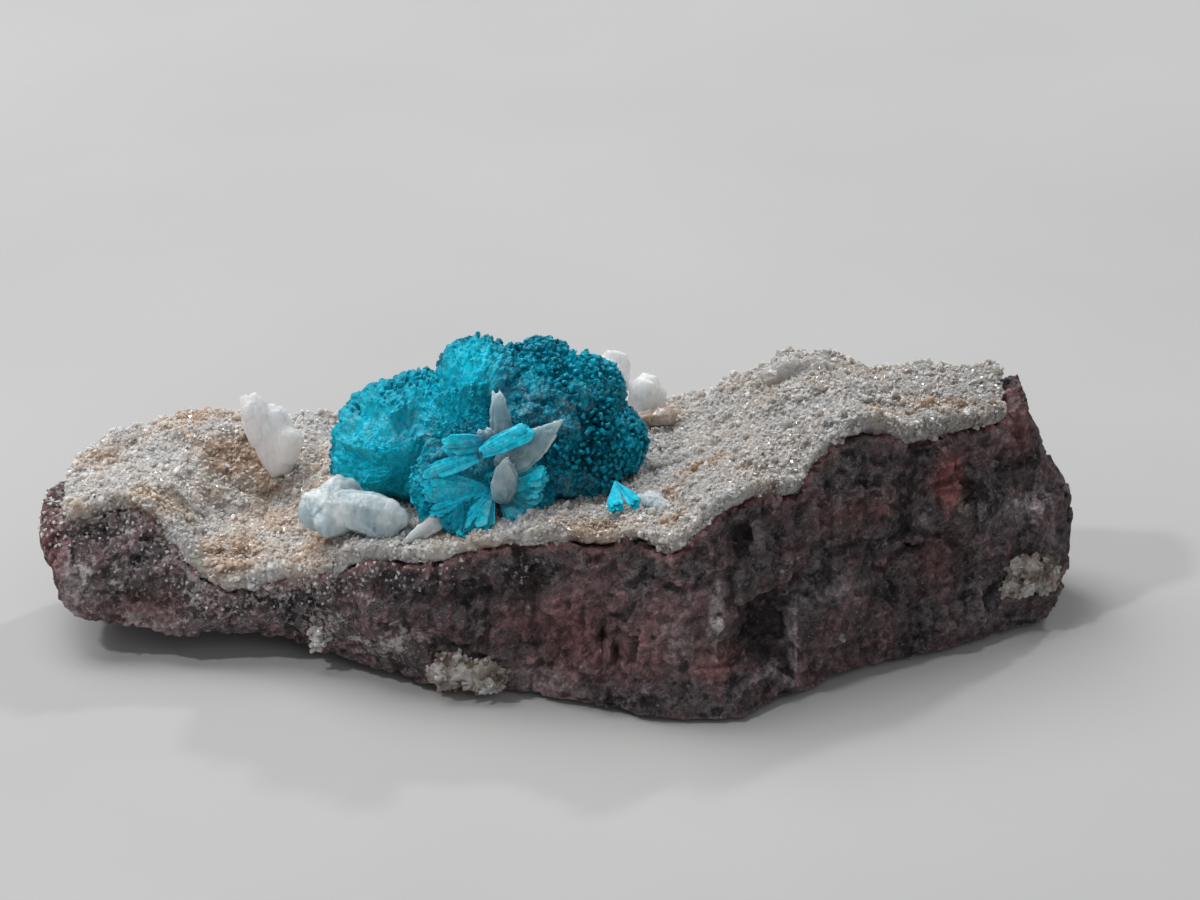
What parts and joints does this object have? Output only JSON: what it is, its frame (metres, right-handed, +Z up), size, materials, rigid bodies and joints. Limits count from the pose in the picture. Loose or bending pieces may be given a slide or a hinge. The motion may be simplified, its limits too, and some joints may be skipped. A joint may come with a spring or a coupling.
{
  "type": "cavansite mineral specimen",
  "caption": "Hand-sized mineral specimen: teal crystal balls and fans with white stilbite laths on a pale drusy crust over dark basalt.",
  "frame": {"origin": "on the flat patch of the basalt's underside that the specimen rests on, below the cavansite", "axes": "+Z up; +X along the specimen from its thin left end to its high right end as seen from the front; +Y from the front, where the crystals and the broken basalt face show, to the back"},
  "size_m": [0.0921, 0.0383, 0.0273],
  "materials": {
    "basalt": "matte",
    "drusy_crust": "satin",
    "cavansite": "satin",
    "stilbite": "satin",
    "white_zeolite": "satin"
  },
  "bodies": {
    "root": {"basalt_matrix": "basalt", "drusy_crust": "drusy_crust", "cavansite_rosettes": "cavansite", "cavansite_sprig": "cavansite", "stilbite_left_blade": "stilbite", "stilbite_back_pair": "stilbite", "stilbite_front_sheaf": "stilbite", "stilbite_front_lath": "stilbite", "stilbite_spike": "stilbite", "stilbite_leaf": "stilbite", "stilbite_plate": "stilbite", "stilbite_right_sprig": "stilbite", "calcite_front_patch": "white_zeolite", "calcite_front_knob": "white_zeolite", "zeolite_right_patch": "white_zeolite"}
  },
  "joints": []
}
